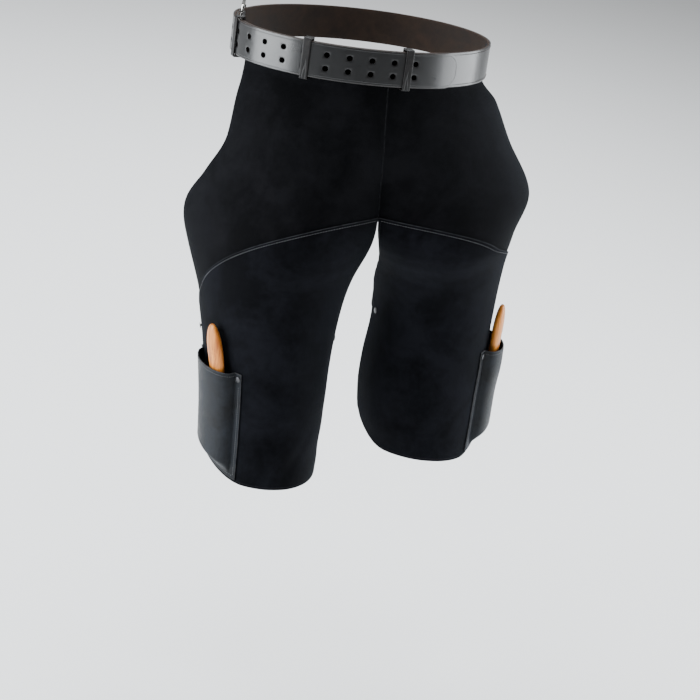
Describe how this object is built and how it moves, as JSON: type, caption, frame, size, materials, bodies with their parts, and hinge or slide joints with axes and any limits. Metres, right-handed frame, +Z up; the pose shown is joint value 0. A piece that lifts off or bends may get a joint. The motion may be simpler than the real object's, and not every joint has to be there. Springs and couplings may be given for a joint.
{
  "type": "farrier work apron",
  "caption": "Split-leg suede work apron on a wide punched waist belt, with leg straps and a hoof knife in a leather pocket on each thigh.",
  "frame": {"origin": "middle of the waist belt, at half its height", "axes": "+Z up the wearer, front of the apron faces -Y, the wearer's right is -X"},
  "size_m": [0.5124, 0.3341, 0.6704],
  "materials": {
    "suede": "napped suede side, matt",
    "patch_suede": "napped suede side, matt, a little darker",
    "smooth_leather": "smooth grain side, satin",
    "belt_leather": "smooth grain side, waxed and glossy",
    "lining_leather": "undyed edge and flesh side, brown-black",
    "nickel": "nickel plate, polished",
    "dark_steel": "blackened steel",
    "wood": "oiled and varnished, honey orange",
    "blade_steel": "ground steel",
    "brass": "polished flush",
    "webbing": "woven webbing, matt",
    "black_plastic": "moulded, fine matt grain"
  },
  "bodies": {
    "apron": {"belt_outer": "belt_leather", "belt_lining": "lining_leather", "keeper_right_hip": "belt_leather", "keeper_right_front": "belt_leather", "keeper_left_front": "belt_leather", "buckle_frame": "nickel", "belt_rivet_1": "dark_steel", "belt_rivet_2": "dark_steel", "belt_rivet_3": "dark_steel", "belt_rivet_4": "dark_steel", "front_panel_right": "suede", "leg_patch_right": "patch_suede", "front_panel_left": "suede", "leg_patch_left": "patch_suede", "centre_seam_tape": "smooth_leather", "knife_pocket_right": "smooth_leather", "pocket_rivet_front_right": "dark_steel", "pocket_rivet_rear_right": "dark_steel", "knife_pocket_left": "smooth_leather", "pocket_rivet_front_left": "dark_steel", "pocket_rivet_rear_left": "dark_steel", "leg_strap_outer_right": "webbing", "strap_rivet_outer_right": "dark_steel", "leg_strap_inner_right": "webbing", "strap_rivet_inner_right": "dark_steel", "strap_buckle_socket_right": "black_plastic", "strap_buckle_plug_right": "black_plastic", "leg_strap_outer_left": "webbing", "strap_rivet_outer_left": "dark_steel", "leg_strap_inner_left": "webbing", "strap_rivet_inner_left": "dark_steel", "strap_buckle_socket_left": "black_plastic", "strap_buckle_plug_left": "black_plastic"},
    "knife_right": {"knife_handle_right": "wood", "knife_blade_right": "blade_steel", "knife_pin_lower_right": "brass", "knife_pin_upper_right": "brass"},
    "knife_left": {"knife_handle_left": "wood", "knife_blade_left": "blade_steel", "knife_pin_lower_left": "brass", "knife_pin_upper_left": "brass"},
    "prong_upper": {"buckle_prong_upper": "nickel"},
    "prong_lower": {"buckle_prong_lower": "nickel"},
    "roller": {"buckle_roller": "nickel"}
  },
  "joints": [
    {"name": "knife_slide_right", "type": "slide", "parent": "apron", "child": "knife_right", "axis": [-0.1776, -0.0344, 0.9835], "range_m": [0, 0.122]},
    {"name": "knife_slide_left", "type": "slide", "parent": "apron", "child": "knife_left", "axis": [0.0389, -0.0233, 0.999], "range_m": [0, 0.122]},
    {"name": "prong_upper_turn", "type": "hinge", "parent": "apron", "child": "prong_upper", "pos_m": [-0.16732, 0.05105, 0], "axis": [0, 0, 1], "range_deg": [0, 12]},
    {"name": "prong_lower_turn", "type": "hinge", "parent": "apron", "child": "prong_lower", "pos_m": [-0.16732, 0.05105, 0], "axis": [0, 0, 1], "range_deg": [0, 12]},
    {"name": "roller_spin", "type": "hinge", "parent": "apron", "child": "roller", "pos_m": [-0.15422, 0.1001, 0], "axis": [0, 0, 1], "continuous": true}
  ]
}
